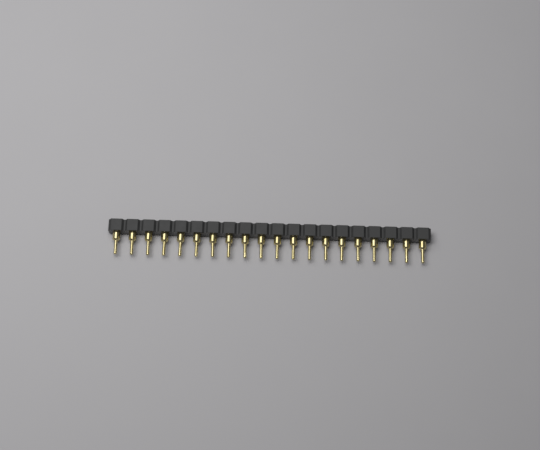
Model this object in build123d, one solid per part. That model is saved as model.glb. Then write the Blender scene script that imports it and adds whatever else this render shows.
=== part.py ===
from build123d import *
import math
import os

# Female pin header: one row of turned round sockets in a black moulded strip.
# Each contact is a turned sleeve, blind at the board end, with a four-finger spring
# clip pressed into its mouth. Notches between the cells let the strip be snapped.
#
# Frame, in millimetres: X runs along the strip, the socket mouths face +Y, the
# solder tails point to -Y, and +Z is up with the strip lying on one long side.
# The origin is under the middle of the whole part, on the surface it lies on.

# The row
POSITIONS = 20
PITCH = 2.54

# Housing
HOUSING_HEIGHT = 1.90        # from the tail side to the mouth side
HOUSING_WIDTH = 2.35         # across the row, between the two long sides
CELL_FLAT = 1.66             # flat of one cell on a long side
NOTCH_FLOOR = 0.26           # flat bottom of a break-off notch
NOTCH_DEPTH = 0.45           # each notch, on both long sides

# Turned sleeve
BARREL_DIAMETER = 1.40       # pressed into the housing
COLLAR_DIAMETER = 1.18       # stands out on the tail side
COLLAR_LENGTH = 1.36         # from the housing to the shoulder on the board
COLLAR_INSET = 0.25          # how far the collar starts inside the housing
COLLAR_CHAMFER = 0.20        # bevelled end of the collar, round the shoulder
TAIL_DIAMETER = 0.50
TAIL_LENGTH = 2.29
TIP_DIAMETER = 0.28          # blunt end of the tapered tail tip
TIP_LENGTH = 0.16
MOUTH_RECESS = 0.10          # rim of the sleeve below the mouth side
FUNNEL_DIAMETER = 1.20       # lead-in at the rim
FUNNEL_DEPTH = 0.17
BORE_DIAMETER = 0.86
BORE_BOTTOM_WALL = 0.46      # metal between the bore's point and the shoulder
DRILL_POINT_ANGLE = 118

# Spring clip
CLIP_RECESS = 0.03           # top of the clip below the end of the funnel
CLIP_RING_LENGTH = 0.30      # unslotted ring that grips the bore
CLIP_LENGTH = 1.60
CLIP_RIM = 0.04              # sheet left at the bevelled top edge
CLIP_GAUGE = 0.06            # sheet at the finger tips
CONTACT_DIAMETER = 0.42      # opening between the relaxed finger tips
CLIP_SLOT = 0.14             # gap between two fingers

# Heights along Y and places worked out from the sizes above
STRIP_LENGTH = POSITIONS * PITCH
OVERALL_DEPTH = HOUSING_HEIGHT + COLLAR_LENGTH + TAIL_LENGTH
MOUTH_SIDE_Y = OVERALL_DEPTH / 2
TAIL_SIDE_Y = MOUTH_SIDE_Y - HOUSING_HEIGHT
SHOULDER_Y = TAIL_SIDE_Y - COLLAR_LENGTH
TIP_Y = SHOULDER_Y - TAIL_LENGTH
RIM_Y = MOUTH_SIDE_Y - MOUTH_RECESS
BORE_TOP_Y = RIM_Y - FUNNEL_DEPTH
BORE_POINT_Y = SHOULDER_Y + BORE_BOTTOM_WALL
ROW_Z = HOUSING_WIDTH / 2


def row_places(count):
    """X of each of count features at the pitch, centred on the strip."""
    first = -(count - 1) * PITCH / 2
    return [first + i * PITCH for i in range(count)]


def notch_section(side):
    """Trapezoid of one notch in the row plane; side is +1 at the top, -1 underneath."""
    mouth = PITCH - CELL_FLAT
    edge = side * HOUSING_WIDTH / 2
    floor = side * (HOUSING_WIDTH / 2 - NOTCH_DEPTH)
    return make_face(
        Polyline(
            (-mouth / 2, edge),
            (-NOTCH_FLOOR / 2, floor),
            (NOTCH_FLOOR / 2, floor),
            (mouth / 2, edge),
            close=True,
        )
    )


def housing():
    """The moulded strip: a notched bar with one straight hole for each sleeve."""
    section = Rectangle(STRIP_LENGTH, HOUSING_WIDTH)
    for x in row_places(POSITIONS + 1):
        for side in (1, -1):
            section -= Pos(x, 0) * notch_section(side)
    for x in row_places(POSITIONS):
        section -= Pos(x, 0) * Circle(BARREL_DIAMETER / 2)
    mouth_side = Plane.XZ.offset(-MOUTH_SIDE_Y)
    bar = extrude(mouth_side * section, amount=HOUSING_HEIGHT)
    return Pos(0, 0, ROW_Z) * bar


def turned(*half_section):
    """Revolve a half section of (radius, y) points about the contact's own axis."""
    return revolve(make_face(Polyline(*half_section, close=True)), Axis.Y)


def sleeve():
    """One turned contact sleeve on the Y axis, from the funnel mouth to the tail tip."""
    bore = BORE_DIAMETER / 2
    point_length = bore / math.tan(math.radians(DRILL_POINT_ANGLE / 2))
    return turned(
        (0, BORE_POINT_Y),
        (bore, BORE_POINT_Y + point_length),
        (bore, BORE_TOP_Y),
        (FUNNEL_DIAMETER / 2, RIM_Y),
        (BARREL_DIAMETER / 2, RIM_Y),
        (BARREL_DIAMETER / 2, TAIL_SIDE_Y + COLLAR_INSET),
        (COLLAR_DIAMETER / 2, TAIL_SIDE_Y + COLLAR_INSET),
        (COLLAR_DIAMETER / 2, SHOULDER_Y + COLLAR_CHAMFER),
        (COLLAR_DIAMETER / 2 - COLLAR_CHAMFER, SHOULDER_Y),
        (TAIL_DIAMETER / 2, SHOULDER_Y),
        (TAIL_DIAMETER / 2, TIP_Y + TIP_LENGTH),
        (TIP_DIAMETER / 2, TIP_Y),
        (0, TIP_Y),
    )


def clip():
    """One spring clip on the Y axis: a ring in the bore and four converging fingers."""
    bore = BORE_DIAMETER / 2
    contact = CONTACT_DIAMETER / 2
    top = BORE_TOP_Y - CLIP_RECESS
    ring_end = top - CLIP_RING_LENGTH
    tips = top - CLIP_LENGTH
    blank = turned(
        (bore - CLIP_RIM, top),
        (bore, top),
        (bore, ring_end),
        (contact + CLIP_GAUGE, tips),
        (contact, tips),
    )
    across = Box(BORE_DIAMETER, ring_end - tips, CLIP_SLOT)
    slots = across + Rot(0, 90, 0) * across
    return blank - Pos(0, (ring_end + tips) / 2, 0) * slots


def nodes():
    """Every piece of the header by name, in its place in the strip."""
    pieces = {"housing": housing()}
    one_sleeve = sleeve()
    one_clip = clip()
    for number, x in enumerate(row_places(POSITIONS), start=1):
        pieces[f"sleeve_{number:02d}"] = Pos(x, 0, ROW_Z) * one_sleeve
        pieces[f"clip_{number:02d}"] = Pos(x, 0, ROW_Z) * one_clip
    return pieces


os.makedirs("parts", exist_ok=True)
for name, shape in nodes().items():
    export_step(shape, f"parts/{name}.step")
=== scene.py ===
# %% [markdown]
# # A female pin header, twenty sockets in a row
#
# The real part is three things, repeated. A black moulded strip holds the row together.
# Twenty gold-plated sleeves, turned on a lathe, are pressed into it, each with a collar
# and a thin solder tail. Inside each sleeve sits a tiny spring clip with four fingers,
# which grips the pin that is pushed in.
#
# The solid model already says where everything is. Here each piece gets its small
# shapes, such as rounded edges and sprung fingers, and its finish.

import math
import random

import bmesh
import bpy
from mathutils import Matrix, Quaternion, Vector


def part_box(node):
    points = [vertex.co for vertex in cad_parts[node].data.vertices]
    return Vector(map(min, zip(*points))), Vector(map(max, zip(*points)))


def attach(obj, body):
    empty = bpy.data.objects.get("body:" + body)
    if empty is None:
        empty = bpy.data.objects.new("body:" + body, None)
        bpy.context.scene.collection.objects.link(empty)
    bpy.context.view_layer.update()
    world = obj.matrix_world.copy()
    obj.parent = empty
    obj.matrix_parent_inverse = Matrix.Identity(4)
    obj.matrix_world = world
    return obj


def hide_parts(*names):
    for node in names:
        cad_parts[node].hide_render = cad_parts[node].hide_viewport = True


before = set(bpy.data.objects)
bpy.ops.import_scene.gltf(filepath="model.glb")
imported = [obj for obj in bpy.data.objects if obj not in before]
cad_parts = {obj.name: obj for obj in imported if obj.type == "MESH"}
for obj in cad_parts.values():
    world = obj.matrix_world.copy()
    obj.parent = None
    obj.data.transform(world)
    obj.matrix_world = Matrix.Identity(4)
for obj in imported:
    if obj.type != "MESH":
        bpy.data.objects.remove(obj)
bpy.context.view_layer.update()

MM = 0.001

# %% [markdown]
# ## Where the pieces are
#
# Every measure that the solid model can give is read from it, so the dressed pieces land
# exactly on the solid ones. X runs along the row, the socket mouths face +Y, the solder
# tails point to -Y, and the strip lies on one long side with +Z up.

# %% Places read from the solid model
def box_in_mm(node):
    """Lowest and highest corner of one solid piece, in millimetres."""
    low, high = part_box(node)
    return low / MM, high / MM


housing_low, housing_high = box_in_mm("housing")
first_low, first_high = box_in_mm("sleeve_01")
sleeve_names = sorted(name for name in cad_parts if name.startswith("sleeve_"))
last_low, last_high = box_in_mm(sleeve_names[-1])

cell_count = len(sleeve_names)
first_x = (first_low.x + first_high.x) / 2
last_x = (last_low.x + last_high.x) / 2
pitch = (last_x - first_x) / (cell_count - 1)
row_z = (housing_low.z + housing_high.z) / 2
mouth_y = housing_high.y
tail_side_y = housing_low.y
rim_y = first_high.y
tip_y = first_low.y
print("sockets:", cell_count, " pitch, mm:", round(pitch, 3))

# %% [markdown]
# ## Working by hand, in code
#
# Modelling operators act on whatever is selected. These few helpers start a clean
# selection, pick parts of a mesh by where they are, and put the finished object's
# origin back at the origin of the scene. The pieces are modelled in millimetres and
# scaled down to metres at the end, because very small numbers are hard to read.

# %% Helpers for selecting and editing
HAIR = 0.002


def begin_edit(piece):
    """Makes one piece the only thing being edited."""
    bpy.ops.object.select_all(action="DESELECT")
    piece.select_set(True)
    bpy.context.view_layer.objects.active = piece
    bpy.ops.object.mode_set(mode="EDIT")
    bpy.ops.mesh.select_mode(type="VERT")


def end_edit():
    """Leaves edit mode, which writes the changes into the mesh."""
    bpy.ops.object.mode_set(mode="OBJECT")


def pick(piece, kind, wanted):
    """Selects the VERT, EDGE or FACE parts whose middle passes the test; returns how many."""
    bpy.ops.mesh.select_mode(type=kind)
    bpy.ops.mesh.select_all(action="DESELECT")
    mesh = bmesh.from_edit_mesh(piece.data)
    parts = {"VERT": mesh.verts, "EDGE": mesh.edges, "FACE": mesh.faces}[kind]
    found = 0
    for part in parts:
        corners = [part] if kind == "VERT" else part.verts
        middle = sum((corner.co for corner in corners), Vector()) / len(corners)
        if wanted(middle, part):
            part.select_set(True)
            found += 1
    mesh.select_flush_mode()
    bmesh.update_edit_mesh(piece.data)
    return found


def settle(piece):
    """Puts the piece's own origin at the scene's origin, with its place in its mesh."""
    bpy.ops.object.select_all(action="DESELECT")
    piece.select_set(True)
    bpy.context.view_layer.objects.active = piece
    bpy.ops.object.transform_apply(location=True, rotation=True, scale=True)


def to_metres(piece):
    """Scales a piece that was modelled in millimetres down to its real size."""
    piece.scale = (MM, MM, MM)
    settle(piece)


def near(a, b):
    """True if two lengths are the same to within a hair."""
    return abs(a - b) < HAIR


# %% [markdown]
# ## The moulded strip: one cell
#
# Seen from the socket side, each cell of the strip is a rectangle with a V notch on
# either side of it, where the strip can be snapped. The cell is box-modelled: a cube is
# the thick middle, and its two ends are pulled out and narrowed to make half a notch
# each. Only the outer ends are left open, because the next cell joins on there.

# %% The block of one cell
CELL_FLAT = 1.66
NOTCH_FLOOR = 0.26
NOTCH_DEPTH = 0.45

housing_height = mouth_y - tail_side_y
housing_width = housing_high.z - housing_low.z
notch_run = (pitch - CELL_FLAT - NOTCH_FLOOR) / 2
cell_middle = Vector((first_x, (mouth_y + tail_side_y) / 2, row_z))

bpy.ops.mesh.primitive_cube_add(size=1.0, location=cell_middle)
strip = bpy.context.object
strip.name = "moulded_strip"
strip.scale = (CELL_FLAT, housing_height, housing_width)
settle(strip)
print("block, mm:", [round(side, 3) for side in strip.dimensions])

# %% Half a notch at each end
waist = (housing_width - 2 * NOTCH_DEPTH) / housing_width
begin_edit(strip)
for side in (1, -1):
    flat_x = first_x + side * CELL_FLAT / 2
    pick(strip, "FACE", lambda middle, face: near(middle.x, flat_x))
    bpy.ops.mesh.extrude_region_move(
        TRANSFORM_OT_translate={"value": (side * notch_run, 0, 0)}
    )
    bpy.ops.transform.resize(value=(1, 1, waist), center_override=cell_middle)
    bpy.ops.mesh.extrude_region_move(
        TRANSFORM_OT_translate={"value": (side * NOTCH_FLOOR / 2, 0, 0)}
    )
    bpy.ops.mesh.delete(type="ONLY_FACE")
end_edit()
print("cell faces:", len(strip.data.polygons))

# %% [markdown]
# ## The round hole through a cell
#
# A boolean would cut this hole, but it leaves ragged many-sided faces. Instead the
# front and back faces of the block are opened, a circle is laid in each opening, and
# bridging joins circle to frame and circle to circle, all in tidy four-sided faces.
# On the tail side the hole closes to a thin lip round the sleeve's collar. The thicker
# barrel of the sleeve rests on that lip.

# %% Openings, circles and bridges
HOLE_RADIUS = 0.70
LIP_RADIUS = 0.605
LIP_DEPTH = 0.24
HOLE_SIDES = 32


def on_circle(middle, radius, y):
    """True on a circle round the hole's axis at one height along it."""
    away = math.hypot(middle.x - first_x, middle.z - row_z)
    return near(middle.y, y) and near(away, radius)


def on_frame(middle, y):
    """True on the four edges of the block's opened face."""
    across = near(abs(middle.x - first_x), CELL_FLAT / 2)
    along = near(abs(middle.z - row_z), housing_width / 2)
    inside = abs(middle.x - first_x) < CELL_FLAT / 2 + HAIR
    return near(middle.y, y) and inside and (across or along)


begin_edit(strip)
for face_y, radius in ((mouth_y, HOLE_RADIUS), (tail_side_y, LIP_RADIUS)):
    pick(
        strip,
        "FACE",
        lambda middle, face: near(middle.y, face_y) and near(middle.x, first_x),
    )
    bpy.ops.mesh.delete(type="ONLY_FACE")
    pick(strip, "EDGE", lambda middle, edge: on_frame(middle, face_y))
    bpy.ops.mesh.subdivide(number_cuts=HOLE_SIDES // 4 - 1)
    bpy.ops.mesh.select_all(action="DESELECT")
    bpy.ops.mesh.primitive_circle_add(
        vertices=HOLE_SIDES,
        radius=radius,
        location=(first_x, face_y, row_z),
        rotation=(math.pi / 2, 0, 0),
    )
    joined = pick(
        strip,
        "VERT",
        lambda middle, vert: on_circle(middle, radius, face_y) or on_frame(middle, face_y),
    )
    bpy.ops.mesh.select_mode(type="EDGE")
    bpy.ops.mesh.bridge_edge_loops()
    print("corners joined at y", round(face_y, 3), "mm:", joined)

# %% The lip, then the long wall of the hole
lip_y = tail_side_y + LIP_DEPTH
pick(strip, "VERT", lambda middle, vert: on_circle(middle, LIP_RADIUS, tail_side_y))
bpy.ops.mesh.select_mode(type="EDGE")
bpy.ops.mesh.extrude_edges_move(TRANSFORM_OT_translate={"value": (0, LIP_DEPTH, 0)})
bpy.ops.mesh.extrude_edges_move(TRANSFORM_OT_translate={"value": (0, 0, 0)})
wider = HOLE_RADIUS / LIP_RADIUS
bpy.ops.transform.resize(value=(wider, 1, wider), center_override=cell_middle)

pick(
    strip,
    "VERT",
    lambda middle, vert: on_circle(middle, HOLE_RADIUS, mouth_y)
    or on_circle(middle, HOLE_RADIUS, lip_y),
)
bpy.ops.mesh.select_mode(type="EDGE")
bpy.ops.mesh.bridge_edge_loops()
end_edit()
print("cell faces with its hole:", len(strip.data.polygons))

# %% [markdown]
# ## From one cell to the whole strip
#
# The strip comes out of its mould in one piece, so the cells are made one mesh: an
# array repeats the cell at the pitch and welds each seam. The two outer ends are then
# closed, and a bevel rounds every edge a little, as a mould does. Nothing moulded has
# a truly sharp edge, and it is the round that catches the light.

# %% Array, end faces and moulded edges
MOULD_EDGE = 0.045
SEAM_GAP = 0.001
SHARP_ANGLE = math.radians(30)

repeat = strip.modifiers.new("repeat", "ARRAY")
repeat.count = cell_count
repeat.use_relative_offset = False
repeat.use_constant_offset = True
repeat.constant_offset_displace = (pitch, 0, 0)
repeat.use_merge_vertices = True
repeat.merge_threshold = SEAM_GAP
bpy.ops.object.modifier_apply(modifier=repeat.name)

begin_edit(strip)
for end_x in (housing_low.x, housing_high.x):
    pick(strip, "EDGE", lambda middle, edge: near(middle.x, end_x))
    bpy.ops.mesh.edge_face_add()
bpy.ops.mesh.select_all(action="SELECT")
bpy.ops.mesh.normals_make_consistent(inside=False)
end_edit()
bpy.ops.object.shade_smooth()

rounding = strip.modifiers.new("mould edges", "BEVEL")
rounding.width = MOULD_EDGE
rounding.segments = 2
rounding.limit_method = "ANGLE"
rounding.angle_limit = SHARP_ANGLE
rounding.harden_normals = True
bpy.ops.object.modifier_apply(modifier=rounding.name)
print("strip faces:", len(strip.data.polygons))

# %% [markdown]
# ## The turned sleeve
#
# A lathe part is a half outline spun round an axis, and that is how it is made here.
# A single point is carried along the outline by extruding it, from the tip of the tail,
# out over the collar and the barrel, in at the mouth and down the bore to the drill's
# point. Spinning the line closes it into one solid skin. The tail stops a hair short,
# so that it stays inside the solid one when it leans.

# %% Sizes of the sleeve
BARREL_RADIUS = 0.70
COLLAR_RADIUS = 0.59
COLLAR_INSET = 0.25
COLLAR_LENGTH = 1.36
COLLAR_CHAMFER = 0.20
TAIL_RADIUS = 0.25
TIP_RADIUS = 0.09
TIP_LENGTH = 0.19
TIP_SETBACK = 0.004
ROOT_FILLET = 0.04
EDGE_BREAK = 0.02
STEP_CHAMFER = 0.03
FUNNEL_RADIUS = 0.60
FUNNEL_DEPTH = 0.17
BORE_RADIUS = 0.43
BORE_BOTTOM_WALL = 0.46
DRILL_POINT_ANGLE = math.radians(118)
LATHE_SIDES = 48
SMOOTH_ANGLE = math.radians(35)

shoulder_y = tail_side_y - COLLAR_LENGTH
barrel_y = tail_side_y + COLLAR_INSET
bore_top_y = rim_y - FUNNEL_DEPTH
bore_point_y = shoulder_y + BORE_BOTTOM_WALL
bore_end_y = bore_point_y + BORE_RADIUS / math.tan(DRILL_POINT_ANGLE / 2)
print("sleeve length, mm:", round(rim_y - tip_y, 3))
print("bore depth, mm:", round(rim_y - bore_point_y, 3))


# %% A lathe made of two operators
START_SQUARE = 0.1
WELD_GAP = 0.0005


def corner(centre_radius, centre_y, size, start, stop, steps=4):
    """Points round one rounded corner of an outline; angles in degrees from +radius to +Y."""
    points = []
    for step in range(steps + 1):
        angle = math.radians(start + (stop - start) * step / steps)
        points.append(
            (centre_radius + size * math.cos(angle), centre_y + size * math.sin(angle))
        )
    return points


def turn_on_lathe(name, outline, sides):
    """Merges a square to one point, carries it along (radius, y), then spins the line."""
    start_radius, start_y = outline[0]
    start = (first_x + start_radius, start_y, row_z)
    bpy.ops.mesh.primitive_plane_add(size=START_SQUARE, location=start)
    piece = bpy.context.object
    piece.name = name
    settle(piece)
    begin_edit(piece)
    bpy.ops.mesh.select_all(action="SELECT")
    bpy.ops.mesh.merge(type="CENTER")
    for here, there in zip(outline, outline[1:]):
        step = (there[0] - here[0], there[1] - here[1], 0)
        bpy.ops.mesh.extrude_vertices_move(TRANSFORM_OT_translate={"value": step})
    bpy.ops.mesh.select_all(action="SELECT")
    bpy.ops.mesh.spin(
        steps=sides, angle=math.tau, center=(first_x, 0, row_z), axis=(0, 1, 0)
    )
    bpy.ops.mesh.select_all(action="SELECT")
    bpy.ops.mesh.remove_doubles(threshold=WELD_GAP)
    bpy.ops.mesh.normals_make_consistent(inside=False)
    end_edit()
    return piece


# %% The outline of the sleeve, spun
tail_end = tip_y + TIP_SETBACK
tail_tip = [(0, tail_end), (TIP_RADIUS, tail_end)]
for turn in (30, 60, 90):
    angle = math.radians(turn)
    tail_tip.append(
        (
            TIP_RADIUS + (TAIL_RADIUS - TIP_RADIUS) * math.sin(angle),
            tail_end + TIP_LENGTH * (1 - math.cos(angle)),
        )
    )

tail_root = corner(TAIL_RADIUS + ROOT_FILLET, shoulder_y - ROOT_FILLET, ROOT_FILLET, 180, 90, 3)
half_break = EDGE_BREAK / 2
collar_end = [
    (COLLAR_RADIUS - COLLAR_CHAMFER - EDGE_BREAK, shoulder_y),
    (COLLAR_RADIUS - COLLAR_CHAMFER + half_break, shoulder_y + half_break),
    (COLLAR_RADIUS - half_break, shoulder_y + COLLAR_CHAMFER - half_break),
    (COLLAR_RADIUS, shoulder_y + COLLAR_CHAMFER + EDGE_BREAK),
]
barrel_step = [
    (COLLAR_RADIUS, barrel_y),
    (BARREL_RADIUS - STEP_CHAMFER, barrel_y),
    (BARREL_RADIUS, barrel_y + STEP_CHAMFER),
]
mouth_rim = corner(BARREL_RADIUS - EDGE_BREAK, rim_y - EDGE_BREAK, EDGE_BREAK, 0, 90, 2)
funnel = [(FUNNEL_RADIUS + half_break, rim_y), (FUNNEL_RADIUS - half_break, rim_y - EDGE_BREAK)]
bore = [(BORE_RADIUS, bore_top_y), (BORE_RADIUS, bore_end_y), (0, bore_point_y)]

sleeve_outline = tail_tip + tail_root + collar_end + barrel_step + mouth_rim + funnel + bore
first_sleeve = turn_on_lathe("turned_sleeve_01", sleeve_outline, LATHE_SIDES)
bpy.ops.object.shade_smooth_by_angle(angle=SMOOTH_ANGLE)
flatten = first_sleeve.modifiers.new("true long faces", "WEIGHTED_NORMAL")
flatten.keep_sharp = True
bpy.ops.object.modifier_apply(modifier=flatten.name)
print("sleeve faces:", len(first_sleeve.data.polygons))

# %% [markdown]
# ## The spring clip
#
# The clip is drawn from thin sheet: a ring that grips the bore, then four fingers that
# lean together until they touch the pin. Its skin is spun like the sleeve, four strips of
# faces are deleted to free the fingers, and a solidify modifier gives the sheet its
# thickness. Each finger leaves the ring in a soft bend, leans in to where it touches, and
# flares a little at its tip, so a pin slides past it.

# %% Sizes and skin of the clip
CLIP_RECESS = 0.03
CLIP_RING_LENGTH = 0.30
CLIP_LENGTH = 1.60
CLIP_GAUGE = 0.05
SHEET_CLEARANCE = 0.002
BEND_IN = 0.02
BEND_DOWN = 0.12
LEAN_IN = 0.07
LEAN_DOWN = 0.45
CONTACT_RADIUS = 0.21
CONTACT_UP = 0.22
EASE_OUT = 0.02
EASE_UP = 0.16
FLARE_START_OUT = 0.015
FLARE_START_DOWN = 0.10
FLARE_OUT = 0.045
TIP_TRIM = 0.01
CLIP_SIDES = 48

clip_top_y = bore_top_y - CLIP_RECESS
ring_end_y = clip_top_y - CLIP_RING_LENGTH
finger_tip_y = clip_top_y - CLIP_LENGTH
contact_y = finger_tip_y + CONTACT_UP
contact_out = CONTACT_RADIUS + CLIP_GAUGE
sheet_out = BORE_RADIUS - SHEET_CLEARANCE

clip_outline = [
    (sheet_out, clip_top_y),
    (sheet_out, ring_end_y),
    (sheet_out - BEND_IN, ring_end_y - BEND_DOWN),
    (sheet_out - LEAN_IN, ring_end_y - LEAN_DOWN),
    (contact_out + EASE_OUT, contact_y + EASE_UP),
    (contact_out, contact_y),
    (contact_out + FLARE_START_OUT, contact_y - FLARE_START_DOWN),
    (contact_out + FLARE_OUT, finger_tip_y + TIP_TRIM),
]
first_clip = turn_on_lathe("spring_clip_01", clip_outline, CLIP_SIDES)
print("clip skin faces:", len(first_clip.data.polygons))

# %% Four slots, the sheet's thickness and soft edges
SLOT_SIDES = 2
SLOT_HALF_ANGLE = math.tau / CLIP_SIDES * SLOT_SIDES / 2
QUARTER = math.pi / 2
SOFT_EDGE = 0.008
FOLD_ANGLE = math.radians(60)


def in_slot(middle, face):
    """True on the strips of faces that are cut away between the fingers."""
    turn = math.atan2(middle.z - row_z, middle.x - first_x)
    off = abs((turn + QUARTER / 2) % QUARTER - QUARTER / 2)
    return middle.y < ring_end_y and off < SLOT_HALF_ANGLE


begin_edit(first_clip)
cut_away = pick(first_clip, "FACE", in_slot)
bpy.ops.mesh.delete(type="FACE")
end_edit()

sheet = first_clip.modifiers.new("sheet", "SOLIDIFY")
sheet.thickness = CLIP_GAUGE
sheet.offset = -1
sheet.use_even_offset = True
bpy.ops.object.modifier_apply(modifier=sheet.name)
soft_edge = first_clip.modifiers.new("soft edges", "BEVEL")
soft_edge.width = SOFT_EDGE
soft_edge.segments = 1
soft_edge.limit_method = "ANGLE"
soft_edge.angle_limit = FOLD_ANGLE
bpy.ops.object.modifier_apply(modifier=soft_edge.name)
bpy.ops.object.shade_smooth_by_angle(angle=SMOOTH_ANGLE)
print("faces cut away:", cut_away, " clip faces:", len(first_clip.data.polygons))

# %% [markdown]
# ## Twenty of each
#
# The sleeve and the clip are modelled once and copied along the row, each copy with its
# own mesh. Handling bends the thin tails by a degree or so, each its own way, and a row
# of perfectly parallel tails looks drawn rather than made. So each tail is turned a
# little about its root, by amounts drawn at random from a fixed seed.

# %% Copies along the row
def copy_along_row(original, prefix, number):
    """Copies a piece, mesh and all, to one cell of the row."""
    if number == 1:
        return original
    bpy.ops.object.select_all(action="DESELECT")
    original.select_set(True)
    bpy.context.view_layer.objects.active = original
    bpy.ops.object.duplicate(linked=False)
    piece = bpy.context.object
    piece.name = f"{prefix}_{number:02d}"
    piece.location.x = (number - 1) * pitch
    settle(piece)
    return piece


sleeves = []
clips = []
for number in range(cell_count, 0, -1):
    sleeves.append(copy_along_row(first_sleeve, "turned_sleeve", number))
    clips.append(copy_along_row(first_clip, "spring_clip", number))
sleeves.reverse()
clips.reverse()
print("sleeves:", len(sleeves), " clips:", len(clips))

# %% Tails bent a little in handling
TAIL_LEAN = math.radians(0.8)
TAIL_LIFT = TAIL_LEAN / 3
LEAN_SEED = 7

lean_draw = random.Random(LEAN_SEED)
free_tail_y = shoulder_y - ROOT_FILLET / 2
leans = []
for number, piece in enumerate(sleeves):
    root = Vector((first_x + number * pitch, shoulder_y, row_z))
    begin_edit(piece)
    pick(piece, "VERT", lambda middle, vert: middle.y < free_tail_y)
    lean = lean_draw.gauss(0, TAIL_LEAN)
    lift = lean_draw.gauss(0, TAIL_LIFT)
    bpy.ops.transform.rotate(value=lean, orient_axis="Z", center_override=root)
    bpy.ops.transform.rotate(value=lift, orient_axis="X", center_override=root)
    end_edit()
    leans.append(round(math.degrees(lean), 1))
print("tails leaned, degrees:", leans)

for piece in [strip] + sleeves + clips:
    to_metres(piece)

# %% [markdown]
# ## Finishes: shared effects
#
# What the finishes are made of is built once, as node groups. The first is a surface
# that is not quite even, for every finish: broad soft clouds and a fine grain. The
# second finds edges, in patches, where a colour is painted paler or brighter; on the
# plastic that is a painted sheen. The third is the set of fine rings that a cutting
# tool leaves round a turned part.

# %% Small helpers for nodes
def add_node(tree, kind, **settings):
    """Adds a node, sets its properties and, for names that are inputs, its input values."""
    node = tree.nodes.new(kind)
    for name, value in settings.items():
        if name in node.inputs:
            node.inputs[name].default_value = value
        else:
            setattr(node, name, value)
    return node


def new_group(name, inputs, outputs):
    """An empty node group with named sockets; returns it with its two end nodes."""
    group = bpy.data.node_groups.new(name, "ShaderNodeTree")
    for title, kind, value in inputs:
        socket = group.interface.new_socket(name=title, in_out="INPUT", socket_type=kind)
        if value is not None:
            socket.default_value = value
    for title, kind in outputs:
        group.interface.new_socket(name=title, in_out="OUTPUT", socket_type=kind)
    return group, group.nodes.new("NodeGroupInput"), group.nodes.new("NodeGroupOutput")


def use_group(tree, group, **values):
    """Places a group in a material with its own values; _ stands for a space in a name."""
    node = tree.nodes.new("ShaderNodeGroup")
    node.node_tree = group
    for name, value in values.items():
        node.inputs[name.replace("_", " ")].default_value = value
    return node


def from_range(tree, value, low, high, to_low=0.0, to_high=1.0):
    """Maps a value's range, low to high, on to another and holds it inside."""
    node = add_node(tree, "ShaderNodeMapRange")
    tree.links.new(value, node.inputs["Value"])
    node.inputs["From Min"].default_value = low
    node.inputs["From Max"].default_value = high
    for socket, end in (("To Min", to_low), ("To Max", to_high)):
        if isinstance(end, float):
            node.inputs[socket].default_value = end
        else:
            tree.links.new(end, node.inputs[socket])
    return node.outputs["Result"]


def product(tree, first, second):
    """Multiplies two values."""
    node = add_node(tree, "ShaderNodeMath", operation="MULTIPLY")
    tree.links.new(first, node.inputs[0])
    tree.links.new(second, node.inputs[1])
    return node.outputs["Value"]


FLOAT = "NodeSocketFloat"
COLOUR = "NodeSocketColor"
VECTOR = "NodeSocketVector"

# %% Uneven surface: clouds and grain
uneven, given, made = new_group(
    "uneven surface",
    (
        ("Vector", VECTOR, None),
        ("Cloud Scale", FLOAT, 400.0),
        ("Grain Scale", FLOAT, 9000.0),
        ("Colour A", COLOUR, (0.1, 0.1, 0.1, 1)),
        ("Colour B", COLOUR, (0.2, 0.2, 0.2, 1)),
        ("Rough A", FLOAT, 0.4),
        ("Rough B", FLOAT, 0.6),
    ),
    (("Colour", COLOUR), ("Roughness", FLOAT), ("Grain", FLOAT)),
)
GRAIN_SHARE = 0.35
TONE_LOW = 0.50
TONE_HIGH = 0.85
clouds = add_node(uneven, "ShaderNodeTexNoise", Detail=4.0, Roughness=0.6)
grain = add_node(uneven, "ShaderNodeTexNoise", Detail=2.0, Roughness=0.7)
uneven.links.new(given.outputs["Vector"], clouds.inputs["Vector"])
uneven.links.new(given.outputs["Vector"], grain.inputs["Vector"])
uneven.links.new(given.outputs["Cloud Scale"], clouds.inputs["Scale"])
uneven.links.new(given.outputs["Grain Scale"], grain.inputs["Scale"])
both = add_node(uneven, "ShaderNodeMath", operation="MULTIPLY_ADD")
both.inputs[1].default_value = GRAIN_SHARE
uneven.links.new(grain.outputs["Fac"], both.inputs[0])
uneven.links.new(clouds.outputs["Fac"], both.inputs[2])
tone = from_range(uneven, both.outputs["Value"], TONE_LOW, TONE_HIGH)
mix_tone = add_node(uneven, "ShaderNodeMix", data_type="RGBA")
uneven.links.new(tone, mix_tone.inputs["Factor"])
uneven.links.new(given.outputs["Colour A"], mix_tone.inputs["A"])
uneven.links.new(given.outputs["Colour B"], mix_tone.inputs["B"])
uneven.links.new(mix_tone.outputs["Result"], made.inputs["Colour"])
rough = from_range(uneven, tone, 0.0, 1.0, given.outputs["Rough A"], given.outputs["Rough B"])
uneven.links.new(rough, made.inputs["Roughness"])
uneven.links.new(grain.outputs["Fac"], made.inputs["Grain"])
print(uneven.name, "nodes:", len(uneven.nodes))
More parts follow.
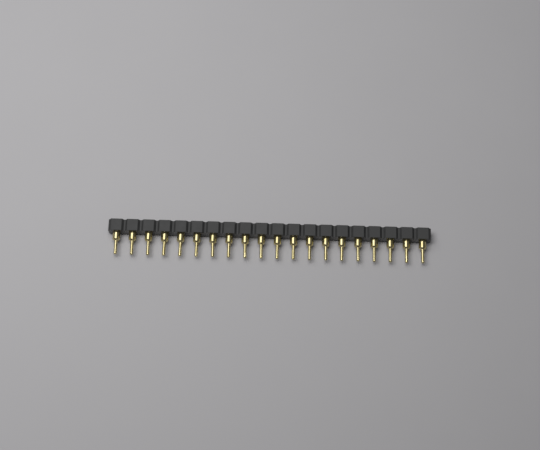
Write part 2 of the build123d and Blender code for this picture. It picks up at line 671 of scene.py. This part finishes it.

# %% Edges that are painted lighter
lightened, given, made = new_group(
    "rubbed edges",
    (
        ("Vector", VECTOR, None),
        ("Patch Scale", FLOAT, 1500.0),
        ("Amount", FLOAT, 1.0),
    ),
    (("Mask", FLOAT),),
)
EDGE_REACH = 0.05 * MM
FLAT_MATCH = 0.995
EDGE_MATCH = 0.90
PATCH_LOW = 0.35
PATCH_HIGH = 0.65
LEAST_LIGHTENED = 0.25
# Edges are found where a bevelled normal turns away from the true one; patches along them set
# how much of each edge is painted lighter.
soft_corner = add_node(lightened, "ShaderNodeBevel", samples=6, Radius=EDGE_REACH)
true_face = add_node(lightened, "ShaderNodeNewGeometry")
compare = add_node(lightened, "ShaderNodeVectorMath", operation="DOT_PRODUCT")
lightened.links.new(soft_corner.outputs["Normal"], compare.inputs[0])
lightened.links.new(true_face.outputs["Normal"], compare.inputs[1])
edge_mask = from_range(lightened, compare.outputs["Value"], FLAT_MATCH, EDGE_MATCH)
patches = add_node(lightened, "ShaderNodeTexNoise", Detail=3.0)
lightened.links.new(given.outputs["Vector"], patches.inputs["Vector"])
lightened.links.new(given.outputs["Patch Scale"], patches.inputs["Scale"])
patchy = from_range(lightened, patches.outputs["Fac"], PATCH_LOW, PATCH_HIGH, LEAST_LIGHTENED)
lighten_mask = product(lightened, edge_mask, patchy)
lighten_mask = product(lightened, lighten_mask, given.outputs["Amount"])
lightened.links.new(lighten_mask, made.inputs["Mask"])
print(lightened.name, "nodes:", len(lightened.nodes))

# %% Rings left by the lathe
rings, given, made = new_group(
    "lathe rings",
    (
        ("Vector", VECTOR, None),
        ("Ring Scale", FLOAT, 9000.0),
        ("Rough Low", FLOAT, 0.15),
        ("Rough High", FLOAT, 0.35),
    ),
    (("Rings", FLOAT), ("Roughness", FLOAT)),
)
split = add_node(rings, "ShaderNodeSeparateXYZ")
ring_noise = add_node(
    rings, "ShaderNodeTexNoise", noise_dimensions="1D", Detail=3.0, Roughness=0.75
)
rings.links.new(given.outputs["Vector"], split.inputs["Vector"])
rings.links.new(split.outputs["Y"], ring_noise.inputs["W"])
rings.links.new(given.outputs["Ring Scale"], ring_noise.inputs["Scale"])
rings.links.new(ring_noise.outputs["Fac"], made.inputs["Rings"])
rough = from_range(
    rings,
    ring_noise.outputs["Fac"],
    0.0,
    1.0,
    given.outputs["Rough Low"],
    given.outputs["Rough High"],
)
rings.links.new(rough, made.inputs["Roughness"])
print(rings.name, "nodes:", len(rings.nodes))

# %% [markdown]
# ## Black moulded plastic
#
# The strip is a glass-filled plastic, nearly black but seen as dark grey under soft
# light, with a satin skin from the sparked surface of the mould. It gets broad clouds
# where the melt cooled unevenly, a very fine grain as bump, and a painted sheen: its
# edges are painted paler. The faces toward the mouths and the tails met polished plates,
# so they are smoother.

# %% Plastic of the strip
def start_material(name):
    """A node material with its shader and a texture coordinate node."""
    material = bpy.data.materials.new(name)
    material.use_nodes = True
    shader = material.node_tree.nodes["Principled BSDF"]
    place = material.node_tree.nodes.new("ShaderNodeTexCoord")
    return material, material.node_tree, shader, place.outputs["Object"]


def add_bump(tree, shader, height, strength, depth):
    """Lets a height value raise and lower the surface, by at most depth."""
    bump = add_node(tree, "ShaderNodeBump", Strength=strength, Distance=depth)
    tree.links.new(height, bump.inputs["Height"])
    tree.links.new(bump.outputs["Normal"], shader.inputs["Normal"])


TURNED_AWAY = 0.75
FACING = 0.95
POLISHED = 0.35

plastic, tree, shader, place = start_material("satin moulded plastic")
shader.inputs["Specular IOR Level"].default_value = 0.45
skin = use_group(
    tree,
    uneven,
    Cloud_Scale=900.0,
    Grain_Scale=14000.0,
    Colour_A=(0.032, 0.0322, 0.0320, 1),
    Colour_B=(0.044, 0.0442, 0.0440, 1),
    Rough_A=0.62,
    Rough_B=0.76,
)
edges = use_group(tree, lightened, Patch_Scale=1200.0, Amount=0.8)
tree.links.new(place, skin.inputs["Vector"])
tree.links.new(place, edges.inputs["Vector"])
# Painted sheen: the edges of the plastic are painted a paler grey through the edge mask.
edge_sheen_paint = add_node(tree, "ShaderNodeMix", data_type="RGBA")
edge_sheen_paint.inputs["B"].default_value = (0.085, 0.085, 0.086, 1)
tree.links.new(edges.outputs["Mask"], edge_sheen_paint.inputs["Factor"])
tree.links.new(skin.outputs["Colour"], edge_sheen_paint.inputs["A"])
tree.links.new(edge_sheen_paint.outputs["Result"], shader.inputs["Base Color"])
facing = add_node(tree, "ShaderNodeSeparateXYZ")
toward_y = add_node(tree, "ShaderNodeMath", operation="ABSOLUTE")
tree.links.new(place.node.outputs["Normal"], facing.inputs["Vector"])
tree.links.new(facing.outputs["Y"], toward_y.inputs[0])
smoother = from_range(tree, toward_y.outputs["Value"], TURNED_AWAY, FACING, 1.0, POLISHED)
skin_rough = product(tree, skin.outputs["Roughness"], smoother)
tree.links.new(skin_rough, shader.inputs["Roughness"])
add_bump(tree, shader, skin.outputs["Grain"], strength=0.35, depth=0.006 * MM)
print(plastic.name, "nodes:", len(tree.nodes))

# %% [markdown]
# ## Gold on turned brass
#
# The sleeves carry a thin pale gold over nickel. Its colour is the metal's own
# reflection, so it is bright where it mirrors the light above and dark olive where it
# mirrors the dim room at the sides. Plating is never quite a mirror, so Metallic stays a
# little under one, and the dark sides keep some colour. Fine rings from the lathe break
# up the highlight.

# %% Gold of the sleeves
gold, tree, shader, place = start_material("pale gold on turned brass")
shader.inputs["Metallic"].default_value = 0.93
tone = use_group(
    tree,
    uneven,
    Cloud_Scale=1100.0,
    Grain_Scale=16000.0,
    Colour_A=(0.565, 0.48, 0.225, 1),
    Colour_B=(0.665, 0.585, 0.335, 1),
    Rough_A=0.02,
    Rough_B=0.045,
)
turned_rings = use_group(tree, rings, Ring_Scale=30000.0, Rough_Low=0.02, Rough_High=0.06)
tree.links.new(place, tone.inputs["Vector"])
tree.links.new(place, turned_rings.inputs["Vector"])
rough_mix = add_node(tree, "ShaderNodeMath", operation="MAXIMUM")
tree.links.new(tone.outputs["Roughness"], rough_mix.inputs[0])
tree.links.new(turned_rings.outputs["Roughness"], rough_mix.inputs[1])
tree.links.new(tone.outputs["Colour"], shader.inputs["Base Color"])
tree.links.new(rough_mix.outputs[0], shader.inputs["Roughness"])
add_bump(tree, shader, turned_rings.outputs["Rings"], strength=0.03, depth=0.002 * MM)
print(gold.name, "nodes:", len(tree.nodes))

# %% [markdown]
# ## Gold on spring sheet
#
# The clips are pressed from hard sheet, and their gold is deeper and a good deal duller
# than the sleeves'. One gold for both would be simpler, but then a clip could hardly be
# told from its bore. The edge mask is used here again, and paints the clip's edges a
# brighter gold.

# %% Gold of the clips
clip_gold, tree, shader, place = start_material("deeper gold on spring sheet")
shader.inputs["Metallic"].default_value = 1.0
tone = use_group(
    tree,
    uneven,
    Cloud_Scale=1500.0,
    Grain_Scale=20000.0,
    Colour_A=(0.76, 0.58, 0.24, 1),
    Colour_B=(0.86, 0.70, 0.36, 1),
    Rough_A=0.24,
    Rough_B=0.40,
)
edges = use_group(tree, lightened, Patch_Scale=4000.0, Amount=0.6)
tree.links.new(place, tone.inputs["Vector"])
tree.links.new(place, edges.inputs["Vector"])
# The clip's edges are painted a brighter gold, in patches, through the edge mask.
brighter = add_node(tree, "ShaderNodeMix", data_type="RGBA")
brighter.inputs["B"].default_value = (0.93, 0.84, 0.58, 1)
tree.links.new(edges.outputs["Mask"], brighter.inputs["Factor"])
tree.links.new(tone.outputs["Colour"], brighter.inputs["A"])
tree.links.new(brighter.outputs["Result"], shader.inputs["Base Color"])
tree.links.new(tone.outputs["Roughness"], shader.inputs["Roughness"])
add_bump(tree, shader, tone.outputs["Grain"], strength=0.2, depth=0.002 * MM)
print(clip_gold.name, "nodes:", len(tree.nodes))

# %% [markdown]
# ## Pieces into the frame
#
# Each dressed piece takes over from one solid piece: it hides that node, rides on the
# same body, and carries its finish in its one material slot.

# %% Dress the solid model
def dress(piece, node, material):
    """Gives a piece its finish and lets it stand for one node of the solid model."""
    piece.data.materials.clear()
    piece.data.materials.append(material)
    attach(piece, "root")
    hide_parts(node)


dress(strip, "housing", plastic)
for number in range(1, cell_count + 1):
    dress(sleeves[number - 1], f"sleeve_{number:02d}", gold)
    dress(clips[number - 1], f"clip_{number:02d}", clip_gold)
print("dressed pieces:", 1 + 2 * cell_count)

# %% [markdown]
# ## Table, light and camera
#
# The header lies on a pale grey table. A strong soft box hangs nearly overhead, a little
# to the left and tipped toward the back left: it lights the table and throws short soft
# shadows to the right and the front. A gentler long strip behind it is what the gold
# mirrors as a bright line, and the room stays dim, so that the sides of the round parts
# fall away to dark. The camera looks down from the tail side.

# %% Table
TABLE_SIZE = 4000 * MM
bpy.ops.mesh.primitive_plane_add(size=TABLE_SIZE, location=(0, 0, 0))
table = bpy.context.object
table.name = "table"
paper, tree, shader, place = start_material("pale grey table")
paper_tone = use_group(
    tree,
    uneven,
    Cloud_Scale=60.0,
    Grain_Scale=4000.0,
    Colour_A=(0.410, 0.403, 0.412, 1),
    Colour_B=(0.422, 0.415, 0.424, 1),
    Rough_A=0.75,
    Rough_B=0.85,
)
tree.links.new(place, paper_tone.inputs["Vector"])
tree.links.new(paper_tone.outputs["Colour"], shader.inputs["Base Color"])
tree.links.new(paper_tone.outputs["Roughness"], shader.inputs["Roughness"])
table.data.materials.append(paper)
print("table side, mm:", round(TABLE_SIZE / MM))


# %% Lamps and the dim room
def soft_lamp(name, place, aim, width, depth, glow):
    """A soft lamp that faces a point; glow sets how bright its face looks."""
    bpy.ops.object.light_add(type="AREA", location=place)
    lamp = bpy.context.object
    lamp.name = name
    lamp.data.shape = "RECTANGLE"
    lamp.data.size = width
    lamp.data.size_y = depth
    lamp.data.energy = glow * math.pi * width * depth
    lamp.visible_camera = False
    away = (Vector(place) - Vector(aim)).normalized()
    across = (Vector((1, 0, 0)) - away * away.x).normalized()
    upward = away.cross(across)
    lamp.rotation_euler = Matrix((across, upward, away)).transposed().to_euler()
    return lamp


for name, place, aim, width, depth, glow in (
    ("overhead strip", (-66, 90, 200), (0, 0, 0), 206, 80, 2.15),
    ("overhead box", (-66, 10, 205), (-117, 95, 0), 186, 84, 7.7),
):
    place = Vector(place) * MM
    aim = Vector(aim) * MM
    lamp = soft_lamp(name, place, aim, width * MM, depth * MM, glow)
    print(lamp.name, "power, watts:", round(lamp.data.energy, 3))

ROOM_COLOUR = (0.10, 0.10, 0.103, 1)
room = bpy.data.worlds.new("dim room")
room.use_nodes = True
room_light = room.node_tree.nodes["Background"]
room_light.inputs["Color"].default_value = ROOM_COLOUR
room_light.inputs["Strength"].default_value = 1.0
bpy.context.scene.world = room
bpy.context.scene.view_settings.view_transform = "Standard"

# %% Camera above the tail side
CAMERA_DISTANCE = 180 * MM
CAMERA_ELEVATION = math.radians(71.05)
CAMERA_AZIMUTH = math.radians(0.2)
CAMERA_ROLL = math.radians(1.5)
CAMERA_LENS = 75.8
NEAREST_SEEN = 1 * MM
FARTHEST_SEEN = 5000 * MM
aim_at = Vector((0.02, 2.82, 1.2)) * MM

back = Vector(
    (
        math.sin(CAMERA_AZIMUTH) * math.cos(CAMERA_ELEVATION),
        -math.cos(CAMERA_AZIMUTH) * math.cos(CAMERA_ELEVATION),
        math.sin(CAMERA_ELEVATION),
    )
)
bpy.ops.object.camera_add(location=aim_at + back * CAMERA_DISTANCE)
camera = bpy.context.object
camera.rotation_mode = "QUATERNION"
camera.rotation_quaternion = (-back).to_track_quat("-Z", "Y") @ Quaternion(
    (0, 0, 1), CAMERA_ROLL
)
camera.data.lens = CAMERA_LENS
camera.data.clip_start = NEAREST_SEEN
camera.data.clip_end = FARTHEST_SEEN
bpy.context.scene.camera = camera
print("camera at, mm:", [round(c / MM, 1) for c in camera.location])
